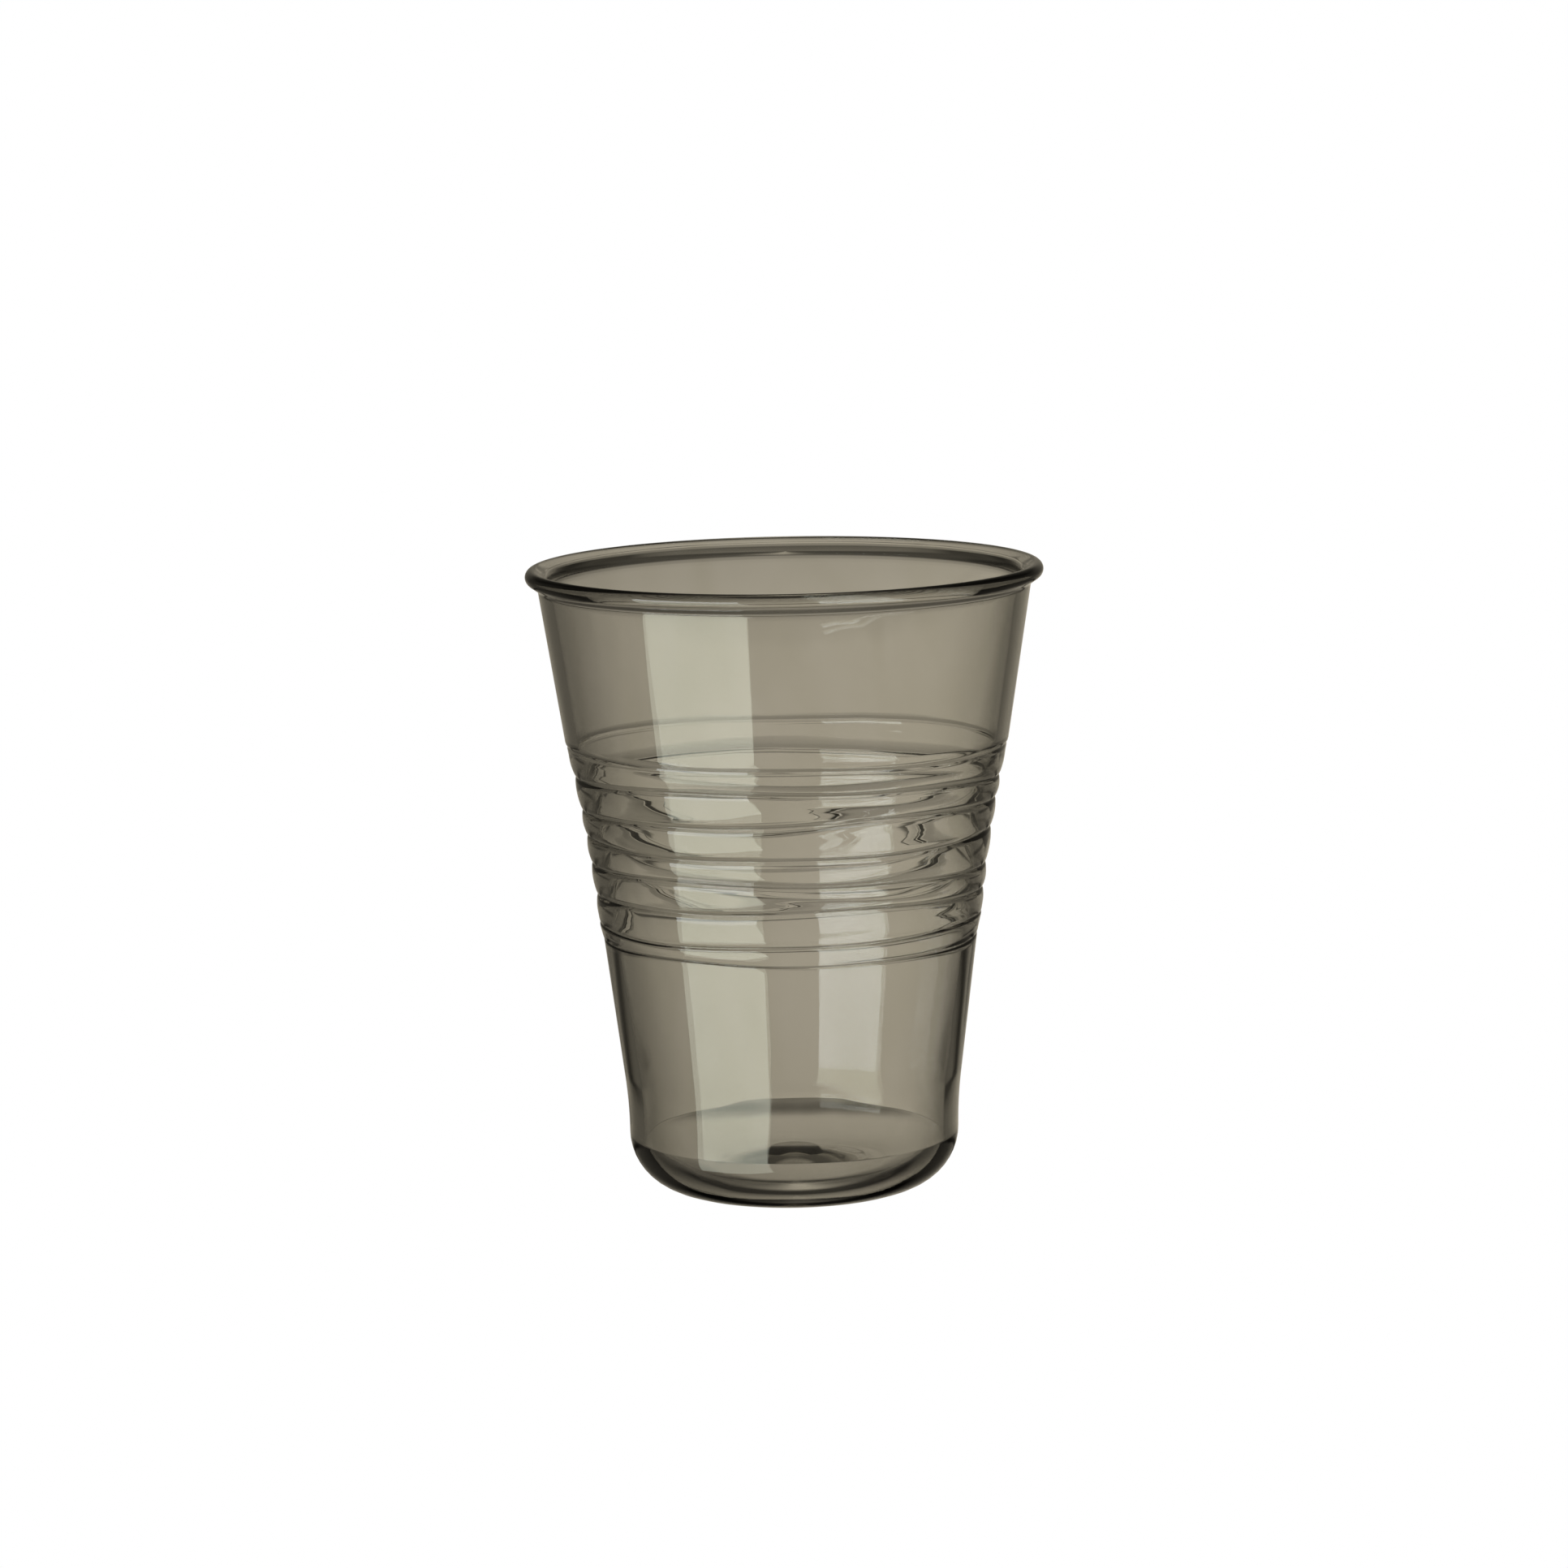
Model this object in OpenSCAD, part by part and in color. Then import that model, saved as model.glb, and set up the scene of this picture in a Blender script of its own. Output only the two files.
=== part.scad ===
// A whiskey tumbler in smoke glass, made in one piece: a tapering cup with a flared, fire-polished lip,
// a band of shallow rings round its waist, a large rounded heel and a base pushed up in the middle.
// Millimetres, +Z up, with the origin at the centre of the foot. Everything is turned about the Z axis.

/* [Overall] */
// Height from the foot to the top of the lip
height = 100; // [95:1:110]
// Outside diameter over the lip
rim_d = 82; // [80:0.5:84]

/* [Lip] */
// Diameter of the lip's round nose
nose_d = 2.4; // [1.8:0.1:2.8]
// Angle of the flare's outer face, away from upright
flare_out = 55; // [45:1:62]
// Angle of the flare's inner face, away from upright
flare_in = 65; // [55:1:72]
// Radius of the hollow where the flare leaves the wall, outside
neck_fillet = 1.2; // [0.6:0.1:1.4]
// Radius of the bend where the flare leaves the wall, inside
throat_fillet = 1.5; // [1:0.1:3]

/* [Wall] */
// Outside diameter of the wall under the lip
neck_d = 77.8; // [77:0.2:78.2]
// Drop from the top of the lip to the place where that diameter is measured
neck_drop = 4; // [3.6:0.1:5]
// Outside diameter of the wall at the top edge of the ring band
band_top_d = 70; // [69:0.2:71]
// Outside diameter of the wall at the bottom edge of the ring band
band_low_d = 59.6; // [58:0.2:61]
// Angle that the wall leans out by, below the ring band
low_taper = 7.2; // [5:0.2:8]
// Wall thickness under the lip
wall_top_t = 2.1; // [1.8:0.1:2.4]
// Wall thickness at the ring band
wall_band_t = 2; // [1.8:0.1:2.4]
// Wall thickness above the heel
wall_heel_t = 2.3; // [2:0.1:2.8]

/* [Ring band] */
// Height of the band's bottom edge
band_low_z = 40.9; // [38:0.1:43]
// Number of rings
ring_count = 7; // [5:1:8]
// Height of the lowest ring
first_ring = 2.6; // [2:0.1:4]
// Height of each other ring
ring_pitch = 4.65; // [4:0.05:4.8]
// Depth of the hollow between two rings, outside
ring_depth = 0.32; // [0.1:0.02:0.4]
// Depth of the fine crease in the middle of that hollow
crease_depth = 0.21; // [0.05:0.02:0.3]
// Half the width of that crease
crease_w = 0.24; // [0.15:0.01:0.4]
// Share of the rings' depth that also shows inside
ring_inside = 0.45; // [0:0.05:0.6]
// Depth of the band's waist, below a straight wall
band_waist = 0.45; // [0:0.05:0.8]
// Height of the step out over the lowest ring
shoulder = 0.45; // [0:0.05:0.6]

/* [Base] */
// Radius of the rounded heel
heel_r = 9.2; // [8.8:0.1:10]
// Height of the long curve from the heel to the leaning wall
heel_blend = 8.8; // [5:0.2:12]
// Thickness of the floor at its edge
floor_t = 3; // [2.2:0.1:3.4]
// Radius of the round corner between the floor and the wall, inside
corner_r = 7.5; // [6:0.1:7.8]
// Lean of that corner where it meets the wall, which leaves a faint line round the inside
corner_lean = 15; // [12:1:25]
// Width of the flat ring that the tumbler stands on
foot_w = 2.8; // [2:0.1:4]
// Rise of the underside in the middle of the base
punt_rise = 3; // [1:0.1:3.4]
// Rise of the floor in the middle of the base
floor_rise = 3; // [1.6:0.1:3.8]
// Diameter of the small mark in the middle of the floor
mark_d = 9; // [6:0.5:10]
// Height of the chamfered edge of that mark
mark_h = 0.6; // [0.1:0.05:0.8]

/* [Hidden] */

// Steps about the axis, on an arc, and on a curve of the base
TURN_STEPS = 96;
ARC_STEPS = 8;
BASE_STEPS = 10;
// Places of one ring's points, as shares of the ring. They crowd round the crease
RING_SPOTS = [0, 0.05, 0.12, 0.28, 0.5, 0.72, 0.88, 0.95];
// How far the first and last crease run on past the band's edges, as a share of a ring
CREASE_END = 0.12;
// Over this share of a ring the hollow fades away, above the lowest ring and below the top one
FADE_LOW = 0.7;
FADE_TOP = 3;

nose_r = nose_d / 2;
nose_x = rim_d / 2 - nose_r;
nose_z = height - nose_r;
neck_z = height - neck_drop;
band_h = first_ring + (ring_count - 1) * ring_pitch;
top_taper = atan((neck_d - band_top_d) / 2 / (neck_z - band_low_z - band_h));

// The heel is an arc that touches the foot plane. The blend above it starts upright and ends at the taper
blend_r = heel_blend / sin(low_taper);
blend_top_z = heel_r + heel_blend;
blend_x = band_low_d / 2 - (band_low_z - blend_top_z) * tan(low_taper) + blend_r * cos(low_taper);
heel_x = blend_x - blend_r - heel_r;
foot_in = heel_x - foot_w;
corner_x = blend_x - blend_r - wall_heel_t - corner_r * cos(corner_lean);

// The inner surface of the wall, as a straight line under the lip
throat_x = neck_d / 2 - wall_top_t / cos(top_taper);

// A point at a distance and angle from a centre
function polar(x, z, r, a) = [x + r * cos(a), z + r * sin(a)];

// Points of an arc, from angle a to angle b
function arc(x, z, r, a, b) = [for (i = [0:ARC_STEPS]) polar(x, z, r, a + (b - a) * i / ARC_STEPS)];

// Where two straight lines cross: each goes through a point, and leans out from upright by an angle
function crossing(p, a, q, b) =
    let (z = (q[0] - p[0] + p[1] * tan(a) - q[1] * tan(b)) / (tan(a) - tan(b)))
    [p[0] + (z - p[1]) * tan(a), z];

// A bend of radius r between a lower line that leans by a and an upper line that leans by b, where they
// cross at c. The bend is hollow towards +X
function bend(c, a, b, r) =
    let (half = (b - a) / 2, mid = (a + b) / 2, far = r / cos(half))
    arc(c[0] + far * cos(mid), c[1] - far * sin(mid), r, 180 - a, 180 - b);

// Height above the band's bottom edge, for a place counted in rings
function ring_z(count) = first_ring * min(count, 1) + ring_pitch * max(count - 1, 0);

// Depth of the hollow and the crease at a place counted in rings
function hollow(count) =
    let (fade = max(0, min(1, count - FADE_LOW, FADE_TOP * (ring_count - count))))
    ring_depth * (1 - abs(sin(180 * count))) * fade;
function crease(count) = crease_depth * exp(-pow((count - round(count)) * ring_pitch / crease_w, 2));

// A point of the ring band, moved in by inset, with a share of the rings' depth
function band_point(count, inset, share) =
    let (s = ring_z(count) / band_h)
    let (x = (band_low_d + (band_top_d - band_low_d) * s) / 2 - band_waist * 4 * s * (1 - s))
    let (step = shoulder * max(0, min(1, count)) * (1 - s))
    [x + step - inset - share * (hollow(count) + crease(count)), band_low_z + ring_z(count)];

// Points of the ring band, from its bottom edge to its top edge
function band(inset, share) = [
    for (ring = [-1:ring_count], spot = RING_SPOTS)
    if (ring + spot >= -CREASE_END && ring + spot <= ring_count + CREASE_END)
    band_point(ring + spot, inset, share)
];

// Height of a low round hill about the axis, whose edge is at radius r
function hill_z(x, r, rise) = rise * (1 + cos(180 * x / r)) / 2;

// Points of that hill, over a floor at height z, from its edge in to radius stop
function hill(r, stop, z, rise) =
    [for (i = [1:BASE_STEPS]) let (x = r + (stop - r) * i / BASE_STEPS) [x, z + hill_z(x, r, rise)]];

function reversed(list) = [for (i = [len(list) - 1:-1:0]) list[i]];

// A list without its first item, which repeats the end of the list before it
function rest(list) = [for (i = [1:len(list) - 1]) list[i]];

// The flare's two faces touch the nose, and each crosses a wall surface
out_touch = polar(nose_x, nose_z, nose_r, -flare_out);
in_touch = polar(nose_x, nose_z, nose_r, 180 - flare_in);
neck_cross = crossing([neck_d / 2, neck_z], top_taper, out_touch, flare_out);
throat_cross = crossing([throat_x, neck_z], top_taper, in_touch, flare_in);

// Outer surface, from the axis under the base out to the foot and up to the nose of the lip
outer = concat(
    reversed(hill(foot_in, 0, 0, punt_rise)),
    [[foot_in, 0]],
    arc(heel_x, heel_r, heel_r, -90, 0),
    rest(arc(blend_x, heel_r, blend_r, 180, 180 - low_taper)),
    band(0, 1),
    bend(neck_cross, top_taper, flare_out, neck_fillet),
    arc(nose_x, nose_z, nose_r, -flare_out, 180 - flare_in)
);

// The mark is a flat disc with a chamfered edge, on the floor's hill
mark_r = mark_d / 2;
mark_z = floor_t + hill_z(mark_r, corner_x, floor_rise) + mark_h;

// Inner surface, from the lip down to the floor
inner = concat(
    reversed(bend(throat_cross, top_taper, flare_in, throat_fillet)),
    reversed(band(wall_band_t, ring_inside)),
    arc(blend_x, heel_r, blend_r + wall_heel_t, 180 - low_taper, 180),
    arc(corner_x, floor_t + corner_r, corner_r, -corner_lean, -90),
    hill(corner_x, mark_r, floor_t, floor_rise),
    [[mark_r - mark_h, mark_z], [0, mark_z]]
);

module glass_body() {
    color([0.45, 0.43, 0.36, 0.6])
    rotate_extrude($fn = TURN_STEPS)
    polygon(concat(outer, inner));
}

glass_body();
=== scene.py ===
from math import atan, cos, exp, pi, radians, sin, tan

import bpy
from mathutils import Matrix, Vector


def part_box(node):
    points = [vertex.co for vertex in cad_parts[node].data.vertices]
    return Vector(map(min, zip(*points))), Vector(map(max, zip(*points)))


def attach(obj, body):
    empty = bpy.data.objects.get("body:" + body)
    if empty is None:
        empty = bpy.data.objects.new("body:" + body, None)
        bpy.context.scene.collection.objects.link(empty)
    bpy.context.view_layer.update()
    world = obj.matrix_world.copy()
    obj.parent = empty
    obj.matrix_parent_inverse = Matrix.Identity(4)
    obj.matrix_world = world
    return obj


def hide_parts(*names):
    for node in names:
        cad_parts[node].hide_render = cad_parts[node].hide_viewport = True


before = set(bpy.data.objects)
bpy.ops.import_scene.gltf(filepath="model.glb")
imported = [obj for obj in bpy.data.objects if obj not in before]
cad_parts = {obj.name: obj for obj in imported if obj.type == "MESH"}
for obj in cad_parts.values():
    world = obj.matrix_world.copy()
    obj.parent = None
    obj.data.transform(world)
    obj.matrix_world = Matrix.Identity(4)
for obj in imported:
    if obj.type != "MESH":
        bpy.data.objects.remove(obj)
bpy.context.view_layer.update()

# ---------------------------------------------------------------------------------------------------
# Camera. A long lens looks slightly down on the tumbler from about nine of its own heights away, and
# leans a degree to one side, as a hand-held camera does.
# ---------------------------------------------------------------------------------------------------
foot_corner, lip_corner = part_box("glass_body")
TALL = lip_corner.z - foot_corner.z

camera_place = Vector((0.0, -8.694 * TALL, 2.002 * TALL))
camera_aim = Vector((-0.0063 * TALL, 0.0, 0.648 * TALL))
CAMERA_LENS = 127.0
CAMERA_LEAN = radians(1.065)

view_line = camera_aim - camera_place
turn = view_line.to_track_quat("-Z", "Y").to_matrix().to_4x4()
camera_data = bpy.data.cameras.new("camera")
camera_data.lens = CAMERA_LENS
camera_data.sensor_width = 36.0
camera = bpy.data.objects.new("camera", camera_data)
camera.matrix_world = Matrix.Translation(camera_place) @ turn @ Matrix.Rotation(-CAMERA_LEAN, 4, "Z")
bpy.context.scene.collection.objects.link(camera)
bpy.context.scene.camera = camera
bpy.context.scene.view_settings.view_transform = "Standard"

# ---------------------------------------------------------------------------------------------------
# The glass body. One gather of smoke glass, blown into a turning mould: a pushed-up base, a round heel,
# a tapering wall with a band of shallow rings, and a lip that is flared and then melted round in the
# flame. The rings come out a little uneven, because the glass chills as it meets the mould.
# ---------------------------------------------------------------------------------------------------
# The lip: a round nose on a flare, whose two faces lean out from upright, and the bends under it
RIM_R = lip_corner.x
NOSE_R = 0.012 * TALL
FLARE_OUT, FLARE_IN = radians(55), radians(65)
NECK_BEND_R = 0.012 * TALL
THROAT_BEND_R = 0.015 * TALL

# The wall: its outside radius at three heights, its lean under the band, and its thickness
NECK_R, NECK_Z = 0.389 * TALL, 0.960 * TALL
BAND_TOP_R = 0.350 * TALL
BAND_LOW_R, BAND_LOW_Z = 0.298 * TALL, 0.409 * TALL
LOW_TAPER = radians(7.2)
WALL_TOP, WALL_BAND, WALL_HEEL = 0.021 * TALL, 0.020 * TALL, 0.023 * TALL

# The ring band: hollows with a fine crease in the middle of each. Its waist is a little narrower than a
# straight wall, and the wall steps out over the lowest ring
RINGS, FIRST_RING, RING_PITCH = 7, 0.026 * TALL, 0.0465 * TALL
BAND_TOP_Z = BAND_LOW_Z + FIRST_RING + (RINGS - 1) * RING_PITCH
RING_DEPTH = 0.0032 * TALL
CREASE_DEPTH, CREASE_WIDTH = 0.0021 * TALL, 0.0024 * TALL
BAND_WAIST = 0.0045 * TALL
SHOULDER = 0.0045 * TALL

# The share of the rings' depth that shows inside, and how far the unevenness inside is turned from the
# unevenness outside
RING_INSIDE = 0.45
INSIDE_SLIP = 0.8

# The hollows grow over one ring, from FADE_LOW rings up, and fade out under the top edge FADE_TOP times as
# fast. The first and last crease run on past the band's edges by a share of a ring
FADE_LOW, FADE_TOP = 0.7, 3
CREASE_END = 0.25

# How far a groove strays from level, as shares of a ring: a lean that grows from groove to groove, and
# waves, each with its size, its number round the glass and its shift from groove to groove
GROOVE_LEAN, LEAN_GROWTH = 0.06, 0.022
GROOVE_WAVES = [(0.09, 1, 1.7), (0.05, 2, 1.9), (0.03, 5, 4)]

# The base: a round heel, the flat ring it stands on, the corner and the floor inside, and a small mark.
# The corner meets the wall at a lean, which leaves a faint line round the inside. A row of points lies
# just over that line
HEEL_R = 0.092 * TALL
HEEL_BLEND = 0.088 * TALL
FOOT_WIDTH = 0.028 * TALL
PUNT_RISE = 0.030 * TALL
FLOOR_EDGE, FLOOR_RISE = 0.030 * TALL, 0.030 * TALL
CORNER_R, CORNER_LEAN = 0.075 * TALL, radians(15)
OVER_LINE = 0.001 * TALL
MARK_R, MARK_H = 0.045 * TALL, 0.006 * TALL

# Steps of the mesh: about the axis, on an arc, on a straight stretch, on a ring and on a curve of the base
TURN_STEPS = 256
ARC_STEPS = 12
WALL_STEPS = 10
RING_STEPS = 12
BASE_STEPS = 24

top_taper = atan((NECK_R - BAND_TOP_R) / (NECK_Z - BAND_TOP_Z))
low_run = (BAND_LOW_Z - HEEL_R - HEEL_BLEND) * tan(LOW_TAPER)
heel_out = BAND_LOW_R - HEEL_BLEND * tan(LOW_TAPER / 2) - low_run
heel_x = heel_out - HEEL_R
blend_r = HEEL_BLEND / sin(LOW_TAPER)
foot_in = heel_x - FOOT_WIDTH
nose_x, nose_z = RIM_R - NOSE_R, TALL - NOSE_R


def arc(x, z, r, a, b, steps=ARC_STEPS):
    """Points of an arc about (x, z), from angle a to angle b."""
    turns = [a + (b - a) * i / steps for i in range(steps + 1)]
    return [(x + r * cos(t), z + r * sin(t)) for t in turns]


def crossing(p, a, q, b):
    """Where a line through p that leans out by a meets a line through q that leans out by b."""
    z = (q[0] - p[0] + p[1] * tan(a) - q[1] * tan(b)) / (tan(a) - tan(b))
    return p[0] + (z - p[1]) * tan(a), z


def bend(corner, a, b, r):
    """The round bend of radius r at the corner of a line that leans by a and one that leans by b."""
    far = r / cos((b - a) / 2)
    x, z = corner[0] + far * cos((a + b) / 2), corner[1] - far * sin((a + b) / 2)
    return arc(x, z, r, pi - a, pi - b)


def between(low, high):
    """The rows of a straight stretch between two rows. They lie closer together near its ends."""
    parts = [(1 - cos(pi * i / WALL_STEPS)) / 2 for i in range(1, WALL_STEPS)]
    return [lambda angle, part=part: mixed(low(angle), high(angle), part) for part in parts]


def mixed(p, q, part):
    """The point a part of the way from p to q."""
    return p[0] + (q[0] - p[0]) * part, p[1] + (q[1] - p[1]) * part


def groove_height(count, angle, slip):
    """Height of the groove under ring `count`, at an angle round the glass. A fraction lies inside a ring.
    No groove is quite level, and `slip` moves the unevenness round."""
    level = BAND_LOW_Z + FIRST_RING * min(count, 1) + RING_PITCH * max(count - 1, 0)
    stray = -(GROOVE_LEAN + LEAN_GROWTH * count) * sin(angle)
    for size, number, shift in GROOVE_WAVES:
        stray += size * sin(number * angle + shift * count + slip)
    return level + RING_PITCH * stray


def band_point(count, angle, inset, share, slip):
    """A point of the ring band, as its radius and height. `share` is how much of the rings' depth shows."""
    z = groove_height(count, angle, slip)
    s = (z - BAND_LOW_Z) / (BAND_TOP_Z - BAND_LOW_Z)
    waist = BAND_WAIST * 4 * s * (1 - s)
    shoulder = SHOULDER * max(0.0, min(1.0, count)) * (1 - s)
    fade = max(0.0, min(1.0, count - FADE_LOW, FADE_TOP * (RINGS - count)))
    hollow = RING_DEPTH * (1 - abs(sin(pi * count))) * fade
    near = abs(count - round(count)) * RING_PITCH
    crease = CREASE_DEPTH * exp(-((near / CREASE_WIDTH) ** 2))
    wall = BAND_LOW_R + (BAND_TOP_R - BAND_LOW_R) * s + shoulder - inset - waist
    return wall - share * (hollow + crease), z


def ring_counts():
    """The rows of the ring band, in rings. They lie closer together near every groove."""
    eased = [(1 - cos(pi * k / RING_STEPS)) / 2 for k in range(RING_STEPS)]
    rows = [ring + part for ring in range(-1, RINGS + 1) for part in eased]
    return [count for count in rows if -CREASE_END < count < RINGS + CREASE_END]


def hill(r, stop, z, rise):
    """Points of a low round hill about the axis, from its edge at r in to stop."""
    spots = [r + (stop - r) * i / BASE_STEPS for i in range(1, BASE_STEPS + 1)]
    return [(x, z + rise * (1 + cos(pi * x / r)) / 2) for x in spots]


def turn_outline(name, line):
    """Turns an outline about the axis into a closed mesh. Each row of the outline is a function that gives
    the radius and height at an angle. The first and last rows are points on the axis."""
    turns = [2 * pi * k / TURN_STEPS for k in range(TURN_STEPS)]
    points = [(0, 0, line[0](0)[1])]
    for row in line[1:-1]:
        for angle in turns:
            r, z = row(angle)
            points.append((r * cos(angle), r * sin(angle), z))
    points.append((0, 0, line[-1](0)[1]))

    last = len(points) - 1
    rows = len(line) - 2
    faces = []
    for k in range(TURN_STEPS):
        n = (k + 1) % TURN_STEPS
        faces.append((0, 1 + n, 1 + k))
        for j in range(rows - 1):
            a, b = 1 + j * TURN_STEPS, 1 + (j + 1) * TURN_STEPS
            faces.append((a + k, a + n, b + n, b + k))
        top = 1 + (rows - 1) * TURN_STEPS
        faces.append((top + k, top + n, last))
    mesh = bpy.data.meshes.new(name)
    mesh.from_pydata(points, [], faces)
    mesh.shade_smooth()
    mesh.validate()
    piece = bpy.data.objects.new(name, mesh)
    bpy.context.scene.collection.objects.link(piece)
    return piece


def plain(points):
    """Rows that are the same all the way round."""
    return [lambda angle, point=point: point for point in points]


def rings(counts, inset, share, slip):
    """Rows of the ring band."""
    return [lambda angle, count=count: band_point(count, angle, inset, share, slip) for count in counts]


def outline():
    """The wall's closed outline, from the axis under the base, out and up to the lip, and down inside to
    the middle of the floor."""
    flare_out = (nose_x + NOSE_R * cos(FLARE_OUT), nose_z - NOSE_R * sin(FLARE_OUT))
    flare_in = (nose_x - NOSE_R * cos(FLARE_IN), nose_z + NOSE_R * sin(FLARE_IN))
    neck = crossing((NECK_R, NECK_Z), top_taper, flare_out, FLARE_OUT)
    throat = crossing((NECK_R - WALL_TOP / cos(top_taper), NECK_Z), top_taper, flare_in, FLARE_IN)

    under = hill(foot_in, 0, 0, PUNT_RISE)[::-1] + [(foot_in, 0)]
    heel = arc(heel_x, HEEL_R, HEEL_R, -pi / 2, 0)
    heel += arc(heel_out + blend_r, HEEL_R, blend_r, pi, pi - LOW_TAPER)[1:]
    neck_bend = bend(neck, top_taper, FLARE_OUT, NECK_BEND_R)
    nose = arc(nose_x, nose_z, NOSE_R, -FLARE_OUT, pi - FLARE_IN, 2 * ARC_STEPS)
    throat_bend = bend(throat, top_taper, FLARE_IN, THROAT_BEND_R)[::-1]

    # Rows just above and just below the faint line keep it sharp
    heel_in_x = heel_out - WALL_HEEL
    corner_x, corner_z = heel_in_x - CORNER_R * cos(CORNER_LEAN), FLOOR_EDGE + CORNER_R
    corner_top, corner_next = -CORNER_LEAN, -CORNER_LEAN - radians(1)
    heel_in = arc(heel_out + blend_r, HEEL_R, blend_r + WALL_HEEL, pi - LOW_TAPER, pi)
    heel_in += [(heel_in_x, corner_z - CORNER_R * sin(CORNER_LEAN) + OVER_LINE)]
    heel_in += arc(corner_x, corner_z, CORNER_R, corner_top, corner_next, 1)
    heel_in += arc(corner_x, corner_z, CORNER_R, corner_next, -pi / 2, 2 * ARC_STEPS)[1:]
    floor = hill(corner_x, MARK_R, FLOOR_EDGE, FLOOR_RISE)
    mark_z = floor[-1][1] + MARK_H
    mark = [(MARK_R - MARK_H, mark_z), (0, mark_z)]

    low_out = plain(under + heel)
    band_out = rings(ring_counts(), 0, 1, 0)
    lip = plain(neck_bend + nose + throat_bend)
    band_in = rings(ring_counts()[::-1], WALL_BAND, RING_INSIDE, INSIDE_SLIP)
    low_in = plain(heel_in + floor + mark)
    rows = low_out + between(low_out[-1], band_out[0]) + band_out + between(band_out[-1], lip[0]) + lip
    return rows + between(lip[-1], band_in[0]) + band_in + between(band_in[-1], low_in[0]) + low_in


GLASS_TINT = (0.30, 0.28, 0.22)
GLASS_DENSITY = 100.0
GLASS_IOR = 1.50

# The cords run up the wall, and between them the glass is a touch darker
CORD_STRETCH = 0.45
CORD_SCALE = 42.0
CORD_CURL = 1.6
CORD_HEIGHT = 0.0002
CORD_STRENGTH = 0.35
CORD_SHADE = (0.95, 0.95, 0.93)
CORD_EDGES = (0.35, 0.6)


def smoke_glass():
    """Clear smoke glass: a grey-olive body colour that deepens with the length of glass looked through.
    Fine cords and a faint waviness are left in it by the gathering and blowing."""
    made = bpy.data.materials.new("smoke_glass")
    made.use_nodes = True
    nodes, links = made.node_tree.nodes, made.node_tree.links
    shader = nodes["Principled BSDF"]
    shader.inputs["Roughness"].default_value = 0.0
    shader.inputs["IOR"].default_value = GLASS_IOR
    shader.inputs["Transmission Weight"].default_value = 1.0
    body = nodes.new("ShaderNodeVolumeAbsorption")
    body.inputs["Color"].default_value = (*GLASS_TINT, 1)
    body.inputs["Density"].default_value = GLASS_DENSITY
    links.new(body.outputs["Volume"], nodes["Material Output"].inputs["Volume"])

    place = nodes.new("ShaderNodeTexCoord")
    stretch = nodes.new("ShaderNodeMapping")
    stretch.inputs["Scale"].default_value = (1.0, 1.0, CORD_STRETCH)
    links.new(place.outputs["Object"], stretch.inputs["Vector"])
    cords = nodes.new("ShaderNodeTexNoise")
    cords.inputs["Scale"].default_value = CORD_SCALE
    cords.inputs["Detail"].default_value = 1.0
    cords.inputs["Distortion"].default_value = CORD_CURL
    links.new(stretch.outputs[0], cords.inputs["Vector"])
    wavy = nodes.new("ShaderNodeBump")
    wavy.inputs["Strength"].default_value = CORD_STRENGTH
    wavy.inputs["Distance"].default_value = CORD_HEIGHT
    links.new(cords.outputs["Fac"], wavy.inputs["Height"])
    links.new(wavy.outputs[0], shader.inputs["Normal"])

    streaks = nodes.new("ShaderNodeValToRGB")
    dark, clear = streaks.color_ramp.elements
    dark.position, clear.position = CORD_EDGES
    dark.color = (*CORD_SHADE, 1)
    clear.color = (1, 1, 1, 1)
    links.new(cords.outputs["Fac"], streaks.inputs[0])
    links.new(streaks.outputs[0], shader.inputs["Base Color"])
    return made


tumbler = turn_outline("tumbler_glass", outline())
tumbler.data.materials.append(smoke_glass())
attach(tumbler, "root")
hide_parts("glass_body")

# ---------------------------------------------------------------------------------------------------
# The floor. A plain sheet of pale paper, lit so evenly that it shows as white and takes no shadow. The
# light of the room under it passes through, so the base of the glass is lit from below.
# ---------------------------------------------------------------------------------------------------
FLOOR_HALF = 3.0
floor_mesh = bpy.data.meshes.new("floor")
corner_signs = [(-1, -1), (1, -1), (1, 1), (-1, 1)]
floor_corners = [(FLOOR_HALF * across, FLOOR_HALF * along, 0) for across, along in corner_signs]
floor_mesh.from_pydata(floor_corners, [], [(0, 1, 2, 3)])
floor_sheet = bpy.data.objects.new("floor", floor_mesh)
bpy.context.scene.collection.objects.link(floor_sheet)

paper = bpy.data.materials.new("pale_paper")
paper.use_nodes = True
nodes, links = paper.node_tree.nodes, paper.node_tree.links
nodes.remove(nodes["Principled BSDF"])
seen = nodes.new("ShaderNodeLightPath")
white = nodes.new("ShaderNodeEmission")
clear = nodes.new("ShaderNodeBsdfTransparent")
either = nodes.new("ShaderNodeMixShader")
links.new(seen.outputs["Is Camera Ray"], either.inputs[0])
links.new(clear.outputs[0], either.inputs[1])
links.new(white.outputs[0], either.inputs[2])
links.new(either.outputs[0], nodes["Material Output"].inputs["Surface"])
floor_mesh.materials.append(paper)

# ---------------------------------------------------------------------------------------------------
# Light. A beige room, whose brightness changes with the height and the direction looked in, and one tall
# soft window of two panes, in front of the tumbler and to its left. The camera itself sees plain white
# behind the glass.
# ---------------------------------------------------------------------------------------------------
ROOM_COLOUR = (0.60, 0.545, 0.43)
ROOM_LIGHT = 0.86
BACK_TURN = radians(4)
NEARLY_UPRIGHT = 0.001

room = bpy.data.worlds.new("room")
bpy.context.scene.world = room
room.use_nodes = True
nodes, links = room.node_tree.nodes, room.node_tree.links


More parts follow.
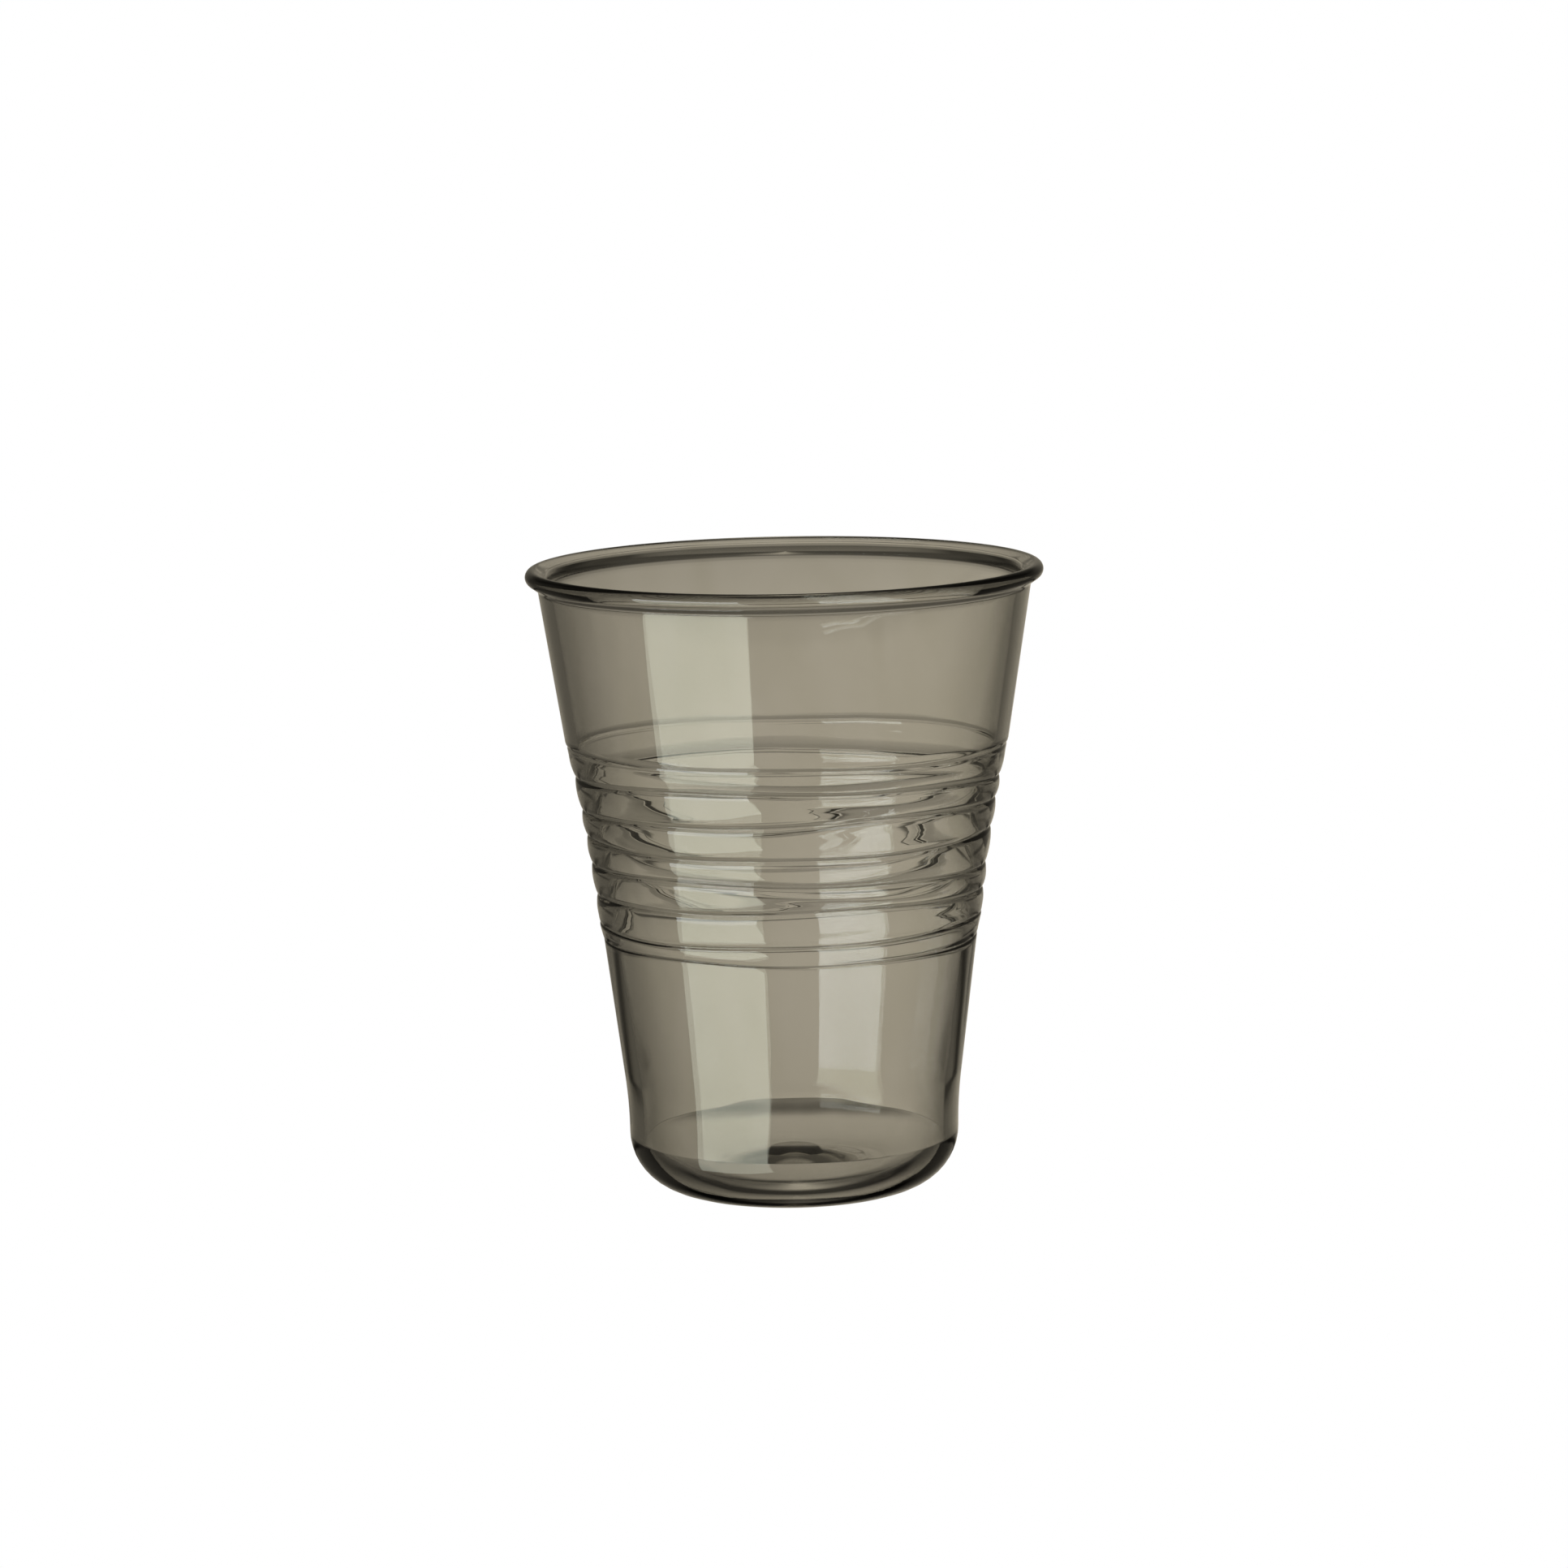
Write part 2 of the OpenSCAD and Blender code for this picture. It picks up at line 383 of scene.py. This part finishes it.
def reckon(kind, a, b):
    """The result of a math node, whose inputs are sockets or plain numbers."""
    node = nodes.new("ShaderNodeMath")
    node.operation = kind
    for socket, value in zip(node.inputs, (a, b)):
        if isinstance(value, float):
            socket.default_value = value
        else:
            links.new(value, socket)
    return node.outputs[0]


def brightness(place, stops):
    """Brightness by a place that runs from -1 to 1, from pairs of a place and its brightness."""
    ramp = nodes.new("ShaderNodeValToRGB")
    marks = ramp.color_ramp.elements
    while len(marks) < len(stops):
        marks.new(0.5)
    for mark, (spot, grey) in zip(marks, stops):
        mark.position = spot / 2 + 0.5
        mark.color = (grey, grey, grey, 1)
    links.new(reckon("ADD", reckon("MULTIPLY", place, 0.5), 0.5), ramp.inputs[0])
    return ramp.outputs[0]


def high(degree):
    """The place of a height in degrees above level."""
    return sin(radians(degree))


def behind(degree):
    """The place of a direction in degrees from straight behind the tumbler."""
    return cos(radians(degree))


looked = nodes.new("ShaderNodeTexCoord")
split = nodes.new("ShaderNodeSeparateXYZ")
links.new(looked.outputs["Generated"], split.inputs[0])
to_right, to_back, upward = split.outputs
sideways = reckon("SQRT", reckon("SUBTRACT", 1.0, reckon("MULTIPLY", upward, upward)), 0.0)
back_x = reckon("MULTIPLY", to_right, sin(BACK_TURN))
back_y = reckon("MULTIPLY", to_back, cos(BACK_TURN))
facing = reckon("DIVIDE", reckon("ADD", back_x, back_y), reckon("MAXIMUM", sideways, NEARLY_UPRIGHT))

# Behind the tumbler, from straight down to straight up: the table with the glass's own shade on it, the
# table's dark far edge, a pale strip over it, the lit wall, a dark stretch high up, and the ceiling
back_height = brightness(upward, [
    (high(-90), 1.0), (high(-62), 1.0), (high(-55), 0.08), (high(-45), 0.04),
    (high(-39), 0.5), (high(-30), 0.8), (high(-17.4), 0.9),
    (high(-16.4), 0.15), (high(-15.5), 0.15),
    (high(-14.4), 0.93), (high(-7.2), 1.0),
    (high(-6.6), 0.76), (high(-4), 0.6), (high(10), 0.5),
    (high(16), 0.22), (high(36), 0.16),
    (high(55), 0.5), (high(80), 0.8),
])

# Everywhere else: the table, and walls that get darker upward, to a lighter ceiling
side_height = brightness(upward, [
    (high(-90), 1.0), (high(-40), 0.95), (high(-8), 0.95),
    (high(0), 0.9), (high(14), 0.7), (high(30), 0.5), (high(60), 0.6),
])

# All round, from the front to straight behind: the room is darkest on both sides of its bright back
by_turn = brightness(facing, [
    (-1, 0.55), (behind(100), 0.6), (behind(85), 0.45), (behind(73), 0.2), (behind(30), 0.25),
    (behind(20), 0.42), (behind(12), 0.63), (behind(9), 0.77), (behind(6), 0.9), (behind(3), 1.0),
])
is_back = brightness(facing, [(behind(50), 0.0), (behind(35), 1.0)])

back_share = reckon("MULTIPLY", is_back, back_height)
side_share = reckon("MULTIPLY", reckon("SUBTRACT", 1.0, is_back), side_height)
by_height = reckon("ADD", back_share, side_share)
room_light = reckon("MULTIPLY", by_height, reckon("MULTIPLY", by_turn, ROOM_LIGHT))
walls = nodes["Background"]
walls.inputs["Color"].default_value = (*ROOM_COLOUR, 1)
links.new(room_light, walls.inputs["Strength"])

seen = nodes.new("ShaderNodeLightPath")
shown = nodes.new("ShaderNodeBackground")
shown.inputs["Color"].default_value = (1, 1, 1, 1)
either = nodes.new("ShaderNodeMixShader")
links.new(seen.outputs["Is Camera Ray"], either.inputs[0])
links.new(walls.outputs[0], either.inputs[1])
links.new(shown.outputs[0], either.inputs[2])
links.new(either.outputs[0], nodes["World Output"].inputs["Surface"])

WINDOW_AWAY = 1.2
WINDOW_TURN = radians(-45.1)
WINDOW_HALF_TURN = radians(24.9)


def window_pane(name, bottom, top, radiance, colour):
    """One pane of the window, between two heights seen from the tumbler, in degrees."""
    tilt, half = radians((bottom + top) / 2), radians((top - bottom) / 2)
    pane = bpy.data.lights.new(name, "AREA")
    pane.shape = "RECTANGLE"
    pane.size = 2 * WINDOW_AWAY * tan(WINDOW_HALF_TURN)
    pane.size_y = 2 * WINDOW_AWAY * tan(half)
    pane.color = colour
    pane.energy = radiance * pi * pane.size * pane.size_y
    toward = Vector((sin(WINDOW_TURN) * cos(tilt), -cos(WINDOW_TURN) * cos(tilt), sin(tilt)))
    window = bpy.data.objects.new(name, pane)
    middle = Vector((0, 0, 0.5 * TALL))
    facing_in = toward.to_track_quat("Z", "Y").to_matrix().to_4x4()
    window.matrix_world = Matrix.Translation(middle + WINDOW_AWAY * toward) @ facing_in
    window.visible_camera = False
    bpy.context.scene.collection.objects.link(window)


window_pane("window_low", bottom=-38, top=-10, radiance=2.8, colour=(0.93, 0.99, 0.84))
window_pane("window_high", bottom=-10, top=7, radiance=4.5, colour=(0.93, 1.0, 1.0))
